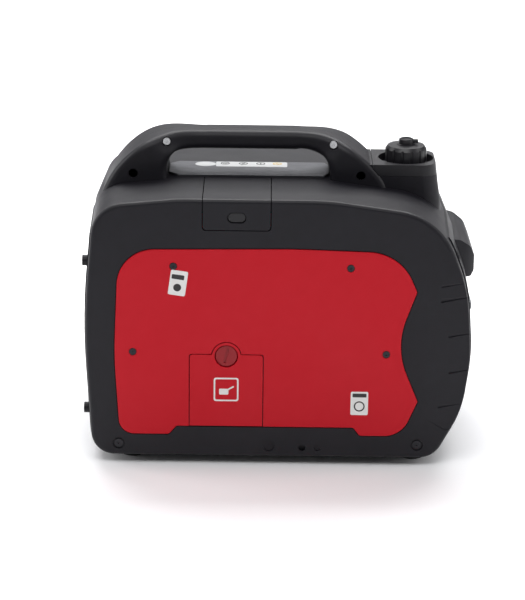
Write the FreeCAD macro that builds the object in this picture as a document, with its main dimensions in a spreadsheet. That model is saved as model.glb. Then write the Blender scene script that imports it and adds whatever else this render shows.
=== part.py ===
import FreeCAD, Part
import math
import os

import Sketcher

# Portable inverter generator in a moulded suitcase housing.
# X runs along the machine toward the control panel, Y across it, Z up.
# The origin is on the ground, under the middle of the machine. Lengths are in mm.

os.makedirs("parts", exist_ok=True)
doc = FreeCAD.newDocument("generator")

# ---------------------------------------------------------------- driving sizes
SIZES = {
    "overall_length": 508.0,
    "overall_width": 290.0,
    "overall_height": 416.5,
    "wall": 3.0,
    "seam": 0.3,
    "panel_gap": 1.1,
    "panel_proud": 1.5,
    "crease_radius": 5.0,
    "end_crown": 5.0,
    "top_crown": 2.0,
    "handle_leg_width": 92.0,
    "handle_grip_width": 46.0,
    "handle_grip_depth": 24.5,
    "filler_width": 84.0,
    "foot_height": 12.0,
    "foot_radius": 17.0,
    "cap_radius": 27.5,
    "cap_ribs": 14.0,
    "knob_radius": 14.5,
    "dial_radius": 22.0,
    "socket_radius": 25.0,
    "crank_radius": 10.0,
    "rotor_radius": 62.0,
    "fan_radius": 74.0,
    "reel_radius": 33.0,
    "screw_radius": 2.5,
}
NOMINAL = {"overall_length": 508.0, "overall_width": 290.0, "overall_height": 416.5}

sheet = doc.addObject("Spreadsheet::Sheet", "Sizes")
for row, (alias, number) in enumerate(SIZES.items(), start=1):
    sheet.set(f"A{row}", alias)
    sheet.set(f"B{row}", str(number))
    sheet.setAlias(f"B{row}", alias)
doc.recompute()


class Size:
    """A length that carries both its number and the sheet expression behind it."""

    def __init__(self, number, text=None):
        self.number = float(number)
        self.text = text if text is not None else f"{float(number):.6g}"

    def __float__(self):
        return self.number

    def _join(self, other, sign, number):
        other = other if isinstance(other, Size) else Size(other)
        return Size(number(self.number, other.number), f"({self.text} {sign} {other.text})")

    def __add__(self, other):
        return self._join(other, "+", lambda a, b: a + b)

    def __sub__(self, other):
        return self._join(other, "-", lambda a, b: a - b)

    def __mul__(self, other):
        return self._join(other, "*", lambda a, b: a * b)

    def __truediv__(self, other):
        return self._join(other, "/", lambda a, b: a / b)

    def __neg__(self):
        return Size(0) - self

    def __radd__(self, other):
        return Size(other) + self

    def __rsub__(self, other):
        return Size(other) - self

    def __rmul__(self, other):
        return Size(other) * self


def cell(alias):
    return Size(sheet.get(alias), f"Sizes.{alias}")


def share(alias, value):
    """A place given for the nominal machine, moved with the overall size it belongs to."""
    return cell(alias) * Size(value / NOMINAL[alias])


def along(x):
    return share("overall_length", x)


def across(y):
    return share("overall_width", y)


def up(z):
    return share("overall_height", z)


wall = cell("wall")
seam = cell("seam")
gap = cell("panel_gap")
proud = cell("panel_proud")
screw = cell("screw_radius")
NEAR = across(145) - proud          # outer face of the black covers, from the middle

V = FreeCAD.Vector
X_AXIS, Y_AXIS, Z_AXIS = V(1, 0, 0), V(0, 1, 0), V(0, 0, 1)
nodes = {}


def num(value):
    return float(value)


def as_size(value):
    return value if isinstance(value, Size) else Size(value)


def bind(obj, prop, value):
    value = as_size(value)
    if "Sizes" in value.text:
        obj.setExpression(prop, value.text)


def place(obj, at, turn=None):
    """Placement by three sizes, with an optional (axis, degrees) turn."""
    axis, degrees = turn if turn else (Z_AXIS, 0)
    obj.Placement = FreeCAD.Placement(V(*[num(v) for v in at]), FreeCAD.Rotation(axis, degrees))
    for letter, value in zip("xyz", at):
        bind(obj, f"Placement.Base.{letter}", value)
    return obj


def keep(label, obj):
    obj.Label = label
    nodes[label] = obj
    return obj


# ------------------------------------------------------------- primitive solids
def box(x0, x1, y0, y1, z0, z1):
    obj = doc.addObject("Part::Box", "block")
    low = [as_size(v) for v in (x0, y0, z0)]
    high = [as_size(v) for v in (x1, y1, z1)]
    for prop, a, b in zip(("Length", "Width", "Height"), low, high):
        setattr(obj, prop, num(b - a))
        bind(obj, prop, b - a)
    return place(obj, low)


TURNS = {"z": None, "y": (X_AXIS, -90), "x": (Y_AXIS, 90), "-y": (X_AXIS, 90), "-x": (Y_AXIS, -90)}


def rod(radius, length, at, axis="z"):
    obj = doc.addObject("Part::Cylinder", "rod")
    obj.Radius = num(radius)
    obj.Height = num(length)
    bind(obj, "Radius", radius)
    bind(obj, "Height", length)
    return place(obj, at, TURNS[axis])


def fuse(*parts):
    if len(parts) == 1:
        return parts[0]
    obj = doc.addObject("Part::MultiFuse", "joined")
    obj.Shapes = list(parts)
    return obj


def cut(base, *tools):
    obj = doc.addObject("Part::Cut", "cut")
    obj.Base = base
    obj.Tool = fuse(*tools)
    return obj


def rounded(base, radius, chosen):
    """Part::Fillet on the edges that chosen(edge) accepts."""
    doc.recompute()
    obj = doc.addObject("Part::Fillet", "rounded")
    obj.Base = base
    obj.Edges = [(i, num(radius), num(radius)) for i, e in enumerate(base.Shape.Edges, 1) if chosen(e)]
    return obj


def group(label, shapes):
    """Identical loose pieces that share one node."""
    obj = doc.addObject("Part::Compound", label)
    obj.Links = list(shapes)
    return keep(label, obj)


# ------------------------------------------------------- sketches and bodies
def new_body():
    return doc.addObject("PartDesign::Body", "body")


def origin_plane(body, role):
    return next(f for f in body.Origin.OriginFeatures if f.Role == role)


def outline_sketch(body, plane, points):
    """Closed polygon whose corners are tied to the sheet."""
    sk = body.newObject("Sketcher::SketchObject", "outline")
    sk.AttachmentSupport = [(origin_plane(body, plane), "")]
    sk.MapMode = "FlatFace"
    pts = [(as_size(u), as_size(v)) for u, v in points]
    for i, (u, v) in enumerate(pts):
        nu, nv = pts[(i + 1) % len(pts)]
        sk.addGeometry(Part.LineSegment(V(num(u), num(v), 0), V(num(nu), num(nv), 0)), False)
    for i in range(len(pts)):
        sk.addConstraint(Sketcher.Constraint("Coincident", i, 2, (i + 1) % len(pts), 1))
    for i, pair in enumerate(pts):
        for kind, value in zip(("DistanceX", "DistanceY"), pair):
            index = sk.addConstraint(Sketcher.Constraint(kind, -1, 1, i, 1, num(value)))
            if "Sizes" in value.text:
                sk.setExpression(f"Constraints[{index}]", value.text)
    return sk


def turned(profile, at, axis="z"):
    """A lathe-turned or moulded-round piece: profile in (radius, height) about its own Z."""
    body = new_body()
    sk = outline_sketch(body, "XZ_Plane", profile)
    rev = body.newObject("PartDesign::Revolution", "turn")
    rev.Profile = sk
    rev.ReferenceAxis = (sk, ["V_Axis"])
    rev.Angle = 360
    place(body, at, TURNS[axis])
    return body


def screw_at(at, axis, length, head=None, head_height=2.6):
    """A pan-head screw whose head seats at `at`; the shank runs back along the axis."""
    x, y, z = at
    head = head if head is not None else screw * 1.8
    step = {"y": (0, 1, 0), "-y": (0, -1, 0), "x": (1, 0, 0), "-x": (-1, 0, 0), "z": (0, 0, 1), "-z": (0, 0, -1)}[axis]
    back = {"y": "-y", "-y": "y", "x": "-x", "-x": "x", "z": "z", "-z": "z"}[axis]
    if axis == "z":
        shank = rod(screw, length + 0.5, (x, y, z - length))
    else:
        shank = rod(screw, length + 0.5, tuple(as_size(p) + s * 0.5 for p, s in zip(at, step)), back)
    top = rod(head, head_height, at, axis)
    socket = rod(screw * 0.62, 1.6, tuple(as_size(p) + s * (head_height - 1.2) for p, s in zip(at, step)), axis)
    return cut(fuse(top, shank), socket)


# ------------------------------------------- free shapes for the moulded housing
def rounded_ring(points, at):
    """Closed wire through (u, v, radius) corners; at(u, v) puts a corner in space."""
    pts = [(at(u, v), r) for u, v, r in points]
    ends = []
    for i, (p, r) in enumerate(pts):
        to_last = (pts[i - 1][0] - p).normalize()
        to_next = (pts[(i + 1) % len(pts)][0] - p).normalize()
        if r <= 0:
            ends.append((p, None, p))
            continue
        half = to_last.getAngle(to_next) / 2
        start = p + to_last * (r / math.tan(half))
        end = p + to_next * (r / math.tan(half))
        middle = p + (to_last + to_next).normalize() * (r / math.sin(half) - r)
        ends.append((start, middle, end))
    edges = []
    for i, (start, middle, end) in enumerate(ends):
        if middle is not None:
            edges.append(Part.Arc(start, middle, end).toShape())
        following = ends[(i + 1) % len(ends)][0]
        if (following - end).Length > 1e-6:
            edges.append(Part.LineSegment(end, following).toShape())
    return Part.Wire(edges)


def side_view(y):
    return lambda x, z: V(x, y, z)


def plan_view(z):
    return lambda x, y: V(x, y, z)


def end_view(x):
    return lambda y, z: V(x, y, z)


LX = num(along(1))                  # scale of the three overall sizes
WY = num(across(1))
HZ = num(up(1))
RS = min(LX, HZ)
T = num(wall)
NEAR_Y = num(NEAR)


def side_points(points):
    return [(x * LX, z * HZ, r * RS) for x, z, r in points]


def prism(points, y0, y1):
    """Side-view outline run across the machine from y0 to y1."""
    return Part.Face(rounded_ring(points, side_view(y0))).extrude(V(0, y1 - y0, 0))


def solid_box(x0, x1, y0, y1, z0, z1):
    return Part.makeBox(x1 - x0, y1 - y0, z1 - z0, V(x0, y0, z0))


def inset(points, amount, y):
    ring = rounded_ring(points, side_view(y))
    return ring if not amount else ring.makeOffset2D(amount)


def feature(label, shape):
    obj = doc.addObject("Part::Feature", label)
    solids = shape.Solids
    obj.Shape = solids[0] if len(solids) == 1 else Part.makeCompound(solids)
    return keep(label, obj)


def mirrored(shape):
    return shape.mirror(V(0, 0, 0), Y_AXIS)


BASE_Z = 12.0
HOUSING = [(-240, BASE_Z, 30), (-250, 195, 900), (-236, 347, 44), (-130, 357.5, 200), (60, 357.5, 300),
           (201.8, 337.8, 92), (240.2, 240.5, 200), (247, 150, 250), (238, 78, 150), (203, BASE_Z, 32)]
crown = 1 + num(cell("end_crown")) / (num(cell("overall_length")) / 2)
near_points = side_points(HOUSING)
rise = num(cell("top_crown"))
middle_points = [(x * crown, z + (rise if z > 300 * HZ else 0), r) for x, z, r in near_points]


def housing_form(amount, near_y):
    """Solid half of the housing, from the near face to the middle plane, grown by amount."""
    near = inset(near_points, amount, 0)
    near.translate(V(0, -near_y, 0))
    middle = inset(middle_points, amount, 0)
    return Part.makeLoft([near, middle], True, True)


def on_plane(edge, y):
    return abs(edge.BoundBox.YMin - y) < 1e-3 and abs(edge.BoundBox.YMax - y) < 1e-3


# The handle: rounded sections from the rear leg, over the grip, to the front leg.
leg = num(cell("handle_leg_width")) / 2
grip = num(cell("handle_grip_width")) / 2
top = 416.33
under = top - num(cell("handle_grip_depth")) / HZ
REAR_LEG = [((-147, 336), (-234, 330), leg), ((-147, 360), (-221, 360), leg), ((-147, 376), (-200, 386), leg),
            ((-141, 388), (-174, 405), leg * 0.94), ((-129, under), (-142, top - 1), (leg + grip) * 0.45),
            ((-112, under), (-115, top), grip + 1), ((-95, under), (-95, top), grip)]
FRONT_LEG = [((20, under), (20, top), grip), ((36, under), (39, top - 1), grip + 1),
             ((51, under - 4), (62, top - 4), (leg + grip) * 0.45), ((60, 381), (87, 402), leg * 0.92),
             ((64, 368), (107, 387), leg), ((64, 356), (124, 371), leg), ((64, 335), (140, 338), leg)]


def handle_section(inner, outer, half_width, corner, thin):
    start = V(inner[0] * LX, 0, inner[1] * HZ)
    end = V(outer[0] * LX, 0, outer[1] * HZ)
    direction = (end - start).normalize()
    reach = (end - start).Length - thin
    side = half_width - thin
    corners = [(thin, -side, corner), (thin, side, corner), (reach, side, corner), (reach, -side, corner)]
    return rounded_ring(corners, lambda u, v: start + direction * u + V(0, v, 0))


def handle_form(thin, corner):
    rear = [handle_section(*s, corner, thin) for s in REAR_LEG]
    front = [handle_section(*s, corner, thin) for s in FRONT_LEG]
    bar = Part.makeLoft([rear[-1], front[0]], True, True)
    return Part.makeLoft(rear, True, False).fuse([bar, Part.makeLoft(front, True, False)])


# The filler housing between the front leg and the control panel end.
FILLER = [(100, 300, 0), (105, 379, 0), (202, 379, 0), (205.5, 352, 90), (210, 325, 60), (210, 300, 0)]
FILLER_X, FILLER_SEAM, FILLER_TOP, FILLER_FLOOR = 164.0, 364.0, 379.0, 369.0
filler_half = num(cell("filler_width")) / 2


def filler_form(thin):
    points = [(x * LX, z * HZ, r * RS) for x, z, r in FILLER]
    points = [(x - thin if x > 150 * LX else x + thin, z - (thin if z > 320 * HZ else 0), r) for x, z, r in points]
    side = filler_half - thin
    form = prism(points, -side, side)
    corners = [e for e in form.Edges if abs(abs(e.CenterOfMass.y) - side) < 1e-3
               and e.BoundBox.XMax > 200.5 * LX and e.CenterOfMass.x > 195 * LX]
    return form.makeFillet(20 - thin, corners)


BIG = 1000.0
near_side = solid_box(-BIG, BIG, -BIG, -num(seam) / 2, -BIG, BIG)

outer_half = housing_form(0, NEAR_Y)
crease = [e for e in outer_half.Edges if on_plane(e, -NEAR_Y)]
outer_half = outer_half.makeFillet(num(cell("crease_radius")), crease)
cavity_half = housing_form(-T, NEAR_Y - T)
handle_outer = handle_form(0, 9)
handle_inner = handle_form(T, 6)
filler_outer = filler_form(0)
filler_inner = filler_form(T)

# Side-view outlines shared by neighbouring pieces: (x, z, corner radius).
PANEL = [(-205, 291, 48), (20, 294, 900), (152, 290, 62), (175, 239, 3), (149, 165, 105), (180, 91, 3),
         (160, 43, 34), (106, 43, 5), (98, 54, 5), (-131, 54, 5), (-141, 42.5, 5), (-204.5, 42.5, 20), (-211, 150, 500)]
SCOOP = [(216, 296, 0), (184, 252, 6), (193, 160, 260), (183, 72, 6), (216, 52, 0), (262, 52, 0), (262, 296, 0)]
LOUVRES = [(206, 245, 1.9), (206, 225, 2.5), (217, 178, 2.5), (219, 129, 2.5), (207, 82, 1.9)]
PANEL_SCREWS = [(-135, 270), (90, 270), (-187, 155), (138, 155)]
RIM_SCREWS = [(-206, 29), (181, 31)]
LEG_HOLES = [(-191, 365), (104, 365)]
HANDLE_SCREWS = [(-148, 405), (68, 403)]
FEET = [(-190, 100), (178, 100)]
PLATE = [(-146, 22, 8), (-134, 34, 5), (58, 34, 5), (63.4, 22, 8),
         (63.4, -22, 8), (58, -34, 5), (-134, -34, 5), (-146, -22, 8)]
SPARK_DOOR = (-98.0, -12.5, 318.0, 38.0)        # x0, x1, lower edge, half width at the top edge
OIL_DOOR = (-114.0, -20.0, 54.8, 152.0)         # x0, x1, z0, z1
KNOB_X, KNOB_Z = -67.0, 150.0
END_HALF, END_LOW, END_TOP = 121.0, 21.0, 306.0
FACE_X, FACE_HALF, FACE_LOW, FACE_TOP = 231.0, 104.0, 72.0, 236.0
TRAY_HALF, TRAY_X0, TRAY_X1 = 118.0, -218.0, 200.0
handle_seat = cell("handle_leg_width") * 0.35


def spot(point, y):
    return V(point[0] * LX, y, point[1] * HZ)


def bore(radius, start, direction, length):
    return Part.makeCylinder(radius, length, start, direction)


def panel_form(amount, y0, y1):
    ring = inset(side_points(PANEL), amount, y0)
    return Part.Face(ring).extrude(V(0, y1 - y0, 0))


def spark_door_block(amount):
    """Block that takes the spark plug door out of the shoulder."""
    x0, x1, z0, half = SPARK_DOOR
    corners = [(x0 * LX - amount, z0 * HZ - amount, 5), (x1 * LX + amount, z0 * HZ - amount, 5),
               (x1 * LX + amount, 375 * HZ, 0), (x0 * LX - amount, 375 * HZ, 0)]
    return prism(corners, -BIG, -half * WY + amount)


def oil_door_form(amount, y0, y1):
    x0, x1, z0, z1 = OIL_DOOR
    low = z0 * HZ - (amount + 2 if amount else 0)
    corners = [(x0 * LX - amount, low, 0.5), (x1 * LX + amount, low, 0.5),
               (x1 * LX + amount, z1 * HZ + amount, 4), (x0 * LX - amount, z1 * HZ + amount, 4)]
    bump = bore(num(cell("knob_radius")) + 4 + amount, spot((KNOB_X, KNOB_Z), y0), Y_AXIS, y1 - y0)
    return prism(corners, y0, y1).fuse(bump).removeSplitter()


def plate_form(amount, z0, z1):
    ring = rounded_ring([(x * LX, y, r) for x, y, r in PLATE], plan_view(z0))
    ring = ring.makeOffset2D(amount) if amount else ring
    return Part.Face(ring).extrude(V(0, 0, z1 - z0))


def grip_scoop():
    """A shallow slanted cut that turns the grip zone toward the control panel end."""
    plan = [(176 * LX, -NEAR_Y - 0.4, 0), (262 * LX, -NEAR_Y + 2.4, 0), (262 * LX, -BIG, 0), (176 * LX, -BIG, 0)]
    wedge = Part.Face(rounded_ring(plan, plan_view(0))).extrude(V(0, 0, BIG))
    return wedge.common(prism(side_points(SCOOP), -BIG, 0))


def louvre_cut(x, z, depth):
    """A shingle step across the grip zone, rising toward the control panel end."""
    blade = [(-NEAR_Y - 3, z * HZ - 0.6, 0), (-NEAR_Y + depth, z * HZ, 0), (-NEAR_Y - 3, z * HZ + 16, 0)]
    return Part.Face(rounded_ring(blade, end_view(x * LX))).extrude(V(60 * LX, 0, 12 * HZ))


def cover_shell(with_service_doors):
    """Black side cover, drawn for the near side: housing, half handle, half filler housing."""
    form = outer_half.fuse([handle_outer.common(near_side), filler_outer.common(near_side)])
    ledge = panel_form(8, -NEAR_Y + T - 0.5, -NEAR_Y + 2 * T)
    shell = form.cut([cavity_half, handle_inner, filler_inner]).fuse(ledge)
    pocket_depth = num(proud) + 1.2
    screw_hole = num(screw) + 0.2
    seat = num(handle_seat)
    posts = [bore(9.5, spot(p, -seat - 8), Y_AXIS, seat + 8).common(handle_outer) for p in HANDLE_SCREWS]
    shell = shell.fuse(posts)
    tools = [solid_box(-BIG, BIG, -num(seam) / 2, BIG, -BIG, BIG),
             panel_form(num(gap), -BIG, -NEAR_Y + pocket_depth),
             panel_form(-32 * RS, -BIG, -NEAR_Y + 40),
             solid_box(200 * LX, BIG, -END_HALF * WY, BIG, -BIG, END_TOP * HZ),
             solid_box(-BIG, -200 * LX, -END_HALF * WY, BIG, -BIG, END_TOP * HZ),
             solid_box(-BIG, BIG, -TRAY_HALF * WY, BIG, -BIG, 30 * HZ),
             solid_box(119 * LX, BIG, -filler_half - 1, BIG, FILLER_SEAM * HZ, BIG),
             bore(24.5, V(FILLER_X * LX, 0, 300 * HZ), Z_AXIS, 200),
             plate_form(num(gap) / 2, 358.6 * HZ, 374 * HZ),
             plate_form(-8, 340 * HZ, 374 * HZ),
             grip_scoop()]
    tools += [louvre_cut(*step) for step in LOUVRES]
    tools += [bore(screw_hole, spot(p, -BIG), Y_AXIS, BIG) for p in PANEL_SCREWS + RIM_SCREWS]
    tools += [bore(8, spot(p, -BIG), Y_AXIS, BIG - NEAR_Y + 2.0) for p in RIM_SCREWS]
    tools += [bore(6, spot(p, -BIG), Y_AXIS, BIG - 18) for p in LEG_HOLES]
    tools += [bore(6, spot(p, -BIG), Y_AXIS, BIG - seat) for p in HANDLE_SCREWS]
    tools += [bore(screw_hole, spot(p, -BIG), Y_AXIS, BIG) for p in HANDLE_SCREWS]
    if with_service_doors:
        tools.append(spark_door_block(num(gap)))
        tools.append(bore(7.5, spot((-11, 27), -BIG), Y_AXIS, BIG - NEAR_Y + 2.0))
        tools.append(bore(4.5, spot((32, 25), -BIG), Y_AXIS, BIG - NEAR_Y + 5.0))
        tools.append(bore(4.5, spot((52, 25), -BIG), Y_AXIS, BIG - NEAR_Y + 1.6))
    return shell.cut(tools)


def with_round_edges(shape, y, radius, limit=4.0):
    """Fillet the outer rim of a panel, on the plane y."""
    edges = [e for e in shape.Edges if on_plane(e, y) and e.Length > limit]
    return shape.makeFillet(radius, edges)


def screw_recesses(points, y0):
    return ([bore(5.2, spot(p, -BIG), Y_AXIS, BIG + y0 + 2.4) for p in points]
            + [bore(num(screw) + 0.2, spot(p, -BIG), Y_AXIS, BIG) for p in points])


# ------------------------------------------------------------ housing mouldings
feature("left_side_cover", cover_shell(True))
feature("right_side_cover", mirrored(cover_shell(False)))

PANEL_Y0 = -num(across(145))
PANEL_Y1 = PANEL_Y0 + 2.6
red_blank = with_round_edges(panel_form(0, PANEL_Y0, PANEL_Y1), PANEL_Y0, 1.0)
left_panel = red_blank.cut([oil_door_form(num(gap), -BIG, BIG)] + screw_recesses(PANEL_SCREWS, PANEL_Y0 - 0.6))
feature("left_side_panel", left_panel)

# Recoil side panel: vent slots around the starter and a bucket for the pull grip.
FAN_X, CRANK_Z = -40.0, 128.0
GRIP_X, GRIP_Z, GRIP_HALF = 77.0, 205.0, 39.0


def vent_slots():
    slots = []
    for i in range(9):
        z = (CRANK_Z + (i - 4) * 13) * HZ
        half = math.sqrt(max(70 ** 2 - ((i - 4) * 13) ** 2, 0)) * RS
        slot = [(FAN_X * LX - half, z - 2.5, 2.4), (FAN_X * LX + half, z - 2.5, 2.4),
                (FAN_X * LX + half, z + 2.5, 2.4), (FAN_X * LX - half, z + 2.5, 2.4)]
        slots.append(prism(slot, -BIG, 0))
    return slots


def bucket(grow, y0, y1):
    long, high = GRIP_HALF + 5 + grow, 22 + grow
    corners = [(-long, -high, 12), (long, -high, 12), (long, high, 12), (-long, high, 12)]
    return prism([(GRIP_X * LX + x, GRIP_Z * HZ + z, r) for x, z, r in corners], y0, y1)


right_panel = red_blank.cut(vent_slots() + screw_recesses(PANEL_SCREWS, PANEL_Y0 - 0.6))
right_panel = right_panel.fuse(bucket(2.0, PANEL_Y0 + 0.6, PANEL_Y0 + 30)).cut(
    [bucket(0, -BIG, PANEL_Y0 + 28), bore(5.5, spot((GRIP_X, GRIP_Z), -BIG), Y_AXIS, BIG)])
feature("right_side_panel", mirrored(right_panel))

# Oil service door with a cup for its quarter-turn knob.
KNOB_R = num(cell("knob_radius"))
cup = bore(KNOB_R + 2.5, spot((KNOB_X, KNOB_Z), PANEL_Y0 + 1), Y_AXIS, 7)
oil_door = oil_door_form(0, PANEL_Y0, PANEL_Y1)
oil_door = oil_door.fuse(cup).cut([bore(KNOB_R + 0.6, spot((KNOB_X, KNOB_Z), -BIG), Y_AXIS, BIG + PANEL_Y0 + 6.4),
                                   bore(6.0, spot((KNOB_X, KNOB_Z), -BIG), Y_AXIS, BIG)])
feature("oil_service_door", oil_door)
knob_at = (along(KNOB_X), -across(145) + 6.1, up(KNOB_Z))
knob_r = cell("knob_radius")
knob = turned([(0, -6.6), (5.6, -6.6), (5.6, 0), (knob_r - 1.6, 0), (knob_r, 0.4), (knob_r, 3.2),
               (knob_r - 1.0, 4.2), (0, 4.2)], knob_at, "-y")
cam = box(along(KNOB_X) - 15, along(KNOB_X) + 15, -across(145) + 8.6, -across(145) + 12.2,
          up(KNOB_Z) - 4.5, up(KNOB_Z) + 4.5)
coin_slot = doc.addObject("Part::Box", "slot")
coin_slot.Length, coin_slot.Width, coin_slot.Height = 3.2, 6.0, 19.0
coin_slot.Placement = FreeCAD.Placement(
    V(num(along(KNOB_X)), 0, num(up(KNOB_Z))), FreeCAD.Rotation(Y_AXIS, 14)).multiply(
    FreeCAD.Placement(V(-1.6, num(knob_at[1]) - 8.6, -9.5), FreeCAD.Rotation()))
keep("oil_door_knob", cut(fuse(knob, cam), coin_slot))

# Spark plug door over the shoulder, with its push latch.
LATCH_X, LATCH_Z = -55.0, 334.0


def latch_form(half_x, half_z, y0, y1):
    corners = [(-half_x, -half_z, half_z - 0.2), (half_x, -half_z, half_z - 0.2),
               (half_x, half_z, half_z - 0.2), (-half_x, half_z, half_z - 0.2)]
    return prism([(LATCH_X * LX + x, LATCH_Z * HZ + z, r) for x, z, r in corners], y0, y1)


door_skin = outer_half.cut(cavity_half).common(spark_door_block(0))
latch_cup = latch_form(13.5, 8.5, -NEAR_Y + 1, -NEAR_Y + 7.5)
door_skin = door_skin.fuse(latch_cup).cut(latch_form(12, 7, -BIG, -NEAR_Y + 6))
feature("spark_plug_door", door_skin)
latch = with_round_edges(latch_form(11.4, 6.4, -NEAR_Y + 2.2, -NEAR_Y + 4.1), -NEAR_Y + 2.2, 0.8, 0.5)
feature("spark_door_latch", latch)

# Base tray: a hat-shaped pan that sits on the covers' lower flanges.
x0, x1 = along(TRAY_X0), along(TRAY_X1)
inner_x0, inner_x1 = along(-206), along(178)
half = across(TRAY_HALF) - 0.6
low, deck = up(12), up(15) + 0.3
pan = box(x0, x1, -half, half, low, deck + 3)
hollow = box(x0 - 1, x1 + 1, -(half - 3), half - 3, low + 3, deck + 5)
shelf = box(inner_x0, inner_x1, -(across(138)), across(138), deck, deck + 3)
shelf_gap = box(inner_x0 - 1, inner_x1 + 1, -(half - 3), half - 3, deck - 1, deck + 5)
tray_walls = [box(inner_x0, inner_x1, side * across(138) - (0 if side < 0 else 3), side * across(138) + (3 if side < 0 else 0),
                  deck, up(33)) for side in (-1, 1)]
rim_bores = [rod(screw + 0.2, across(300), (along(x), -across(150), up(z)), "y") for x, z in RIM_SCREWS]
keep("base_tray", cut(fuse(cut(pan, hollow), cut(shelf, shelf_gap), *tray_walls), *rim_bores))

foot_r, foot_h = cell("foot_radius"), cell("foot_height")
foot_profile = [(screw + 2, 0), (foot_r - 1.5, 0), (foot_r, 1.5), (foot_r - 2.5, foot_h - 0.05),
                (screw + 0.1, foot_h - 0.05), (screw + 0.1, 4), (screw + 2, 4)]
group("rubber_feet", [turned(foot_profile, (along(x), s * across(y), 0)) for x, y in FEET for s in (-1, 1)])


# ------------------------------------------------------------------ end covers
def end_wall(sign):
    """Curved end piece that stands a little proud of the side covers."""
    outside = housing_form(2.0, NEAR_Y)
    inside = housing_form(-1.5, NEAR_Y)
    wall_half = outside.cut(inside)
    whole = wall_half.fuse(mirrored(wall_half))
    limit = solid_box(201 * LX, BIG, -END_HALF * WY + 0.5, END_HALF * WY - 0.5, END_LOW * HZ, END_TOP * HZ - 0.5)
    if sign < 0:
        limit = solid_box(-BIG, -201 * LX, -END_HALF * WY + 0.5, END_HALF * WY - 0.5, END_LOW * HZ, END_TOP * HZ - 0.5)
    return whole.common(limit), limit, outside.fuse(mirrored(outside))


panel_wall, panel_limit, grown = end_wall(1)
face_x = FACE_X * LX
well = solid_box(face_x - 3, BIG, -FACE_HALF * WY - 3, FACE_HALF * WY + 3, FACE_LOW * HZ - 3, FACE_TOP * HZ + 3)
HOOD = [(214, 290, 0), (234, 287, 12), (248, 277, 14), (255.5, 260, 14), (254, 243, 10), (247.5, 232, 8),
        (247.5, 226, 2), (214, 226, 0)]
hood_plan = [(190 * LX, -84 * WY, 0), (262 * LX, -58 * WY, 34), (262 * LX, 58 * WY, 34), (190 * LX, 84 * WY, 0)]
hood = prism(side_points(HOOD), -100 * WY, 100 * WY).common(
    Part.Face(rounded_ring(hood_plan, plan_view(0))).extrude(V(0, 0, BIG)))
hood = hood.common(solid_box(0, num(cell("overall_length")) / 2, -BIG, BIG, -BIG, BIG))
hood_hollow = prism([(x - 3 if x > 214 else x - 9, z - 3 if z > 240 else z + 3, r)
                     for x, z, r in side_points(HOOD)], -54 * WY, 54 * WY)
control = panel_wall.fuse(well.common(grown)).fuse(hood).cut(
    [solid_box(face_x, BIG, -FACE_HALF * WY, FACE_HALF * WY, FACE_LOW * HZ, FACE_TOP * HZ),
     hood_hollow.common(solid_box(0, 246 * LX, -BIG, BIG, 0, BIG)),
     solid_box(224 * LX, 230 * LX, -118 * WY, -106 * WY, 272 * HZ, 284 * HZ)])


def face_hole(radius, y, z):
    return bore(radius, V(face_x - 20, y * WY, z * HZ), X_AXIS, 60)


def face_box(y, z, wide, high):
    return solid_box(face_x - 20, face_x + 20, y * WY - wide / 2, y * WY + wide / 2, z * HZ - high / 2, z * HZ + high / 2)


DIAL = (-72.0, 205.0)
SOCKETS = [(-40.0, 138.0), (34.0, 138.0)]
DC_SOCKET = (86.0, 150.0)
USB = [(12.0, 208.0), (40.0, 208.0)]
ECO = (76.0, 208.0)
LAMPS = [(-34.0, 220.0), (-20.0, 220.0), (-6.0, 220.0)]
BREAKERS = [(86.0, 122.0), (-84.0, 150.0)]
JACKS = [(-18.0, 88.0), (14.0, 88.0)]
GROUND = (80.0, 90.0)
SOCKET_R = num(cell("socket_radius"))
control = control.cut(
    [face_hole(6.3, *DIAL), face_hole(11.3, *DC_SOCKET), face_box(*ECO, 15.6, 22.4), face_hole(3.3, *GROUND)]
    + [face_hole(SOCKET_R - 3.7, *p) for p in SOCKETS] + [face_box(*p, 20.6, 12.6) for p in USB]
    + [face_hole(2.8, *p) for p in LAMPS] + [face_hole(5.3, *p) for p in BREAKERS + JACKS]
    + [face_hole(num(screw) + 0.2, y, z) for y in (-97, 97) for z in (79, 229)])
feature("control_panel", control)

exhaust_wall, exhaust_limit, _ = end_wall(-1)
OUTLET_Y, OUTLET_Z, OUTLET_R = 20.0, 214.0, 31.0
vents = [solid_box(-BIG, -200 * LX, -86 * WY, 86 * WY, (z - 3) * HZ, (z + 3) * HZ) for z in range(58, 160, 14)]
lugs = [bore(7, V(-num(cell("overall_length")) / 2, y * WY, z * HZ), X_AXIS, 14 * LX)
        for y in (-96, 96) for z in (60, 262)]
lug_holes = [bore(num(screw) + 0.2, V(-BIG, y * WY, z * HZ), X_AXIS, BIG) for y in (-96, 96) for z in (60, 262)]
lug_holes += [bore(5, V(-BIG, y * WY, z * HZ), X_AXIS, BIG - num(cell("overall_length")) / 2 + 4)
              for y in (-96, 96) for z in (60, 262)]
collar_ring = bore(OUTLET_R + 5, V(-num(cell("overall_length")) / 2, OUTLET_Y * WY, OUTLET_Z * HZ), X_AXIS, 10 * LX)
limit_x = solid_box(-num(cell("overall_length")) / 2, 0, -BIG, BIG, -BIG, BIG)
exhaust_cover = exhaust_wall.fuse(lugs + [collar_ring]).common(limit_x).cut(
    vents + lug_holes + [bore(OUTLET_R, V(-BIG, OUTLET_Y * WY, OUTLET_Z * HZ), X_AXIS, BIG)])
feature("exhaust_end_cover", exhaust_cover)

# ------------------------------------------------ plate, filler and fuel cap
plate = plate_form(0, 358.8 * HZ, 361.8 * HZ)
plate_rim = [e for e in plate.Edges if abs(e.BoundBox.ZMin - 361.8 * HZ) < 1e-3]
feature("top_label_plate", plate.makeFillet(0.8, plate_rim))

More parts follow.
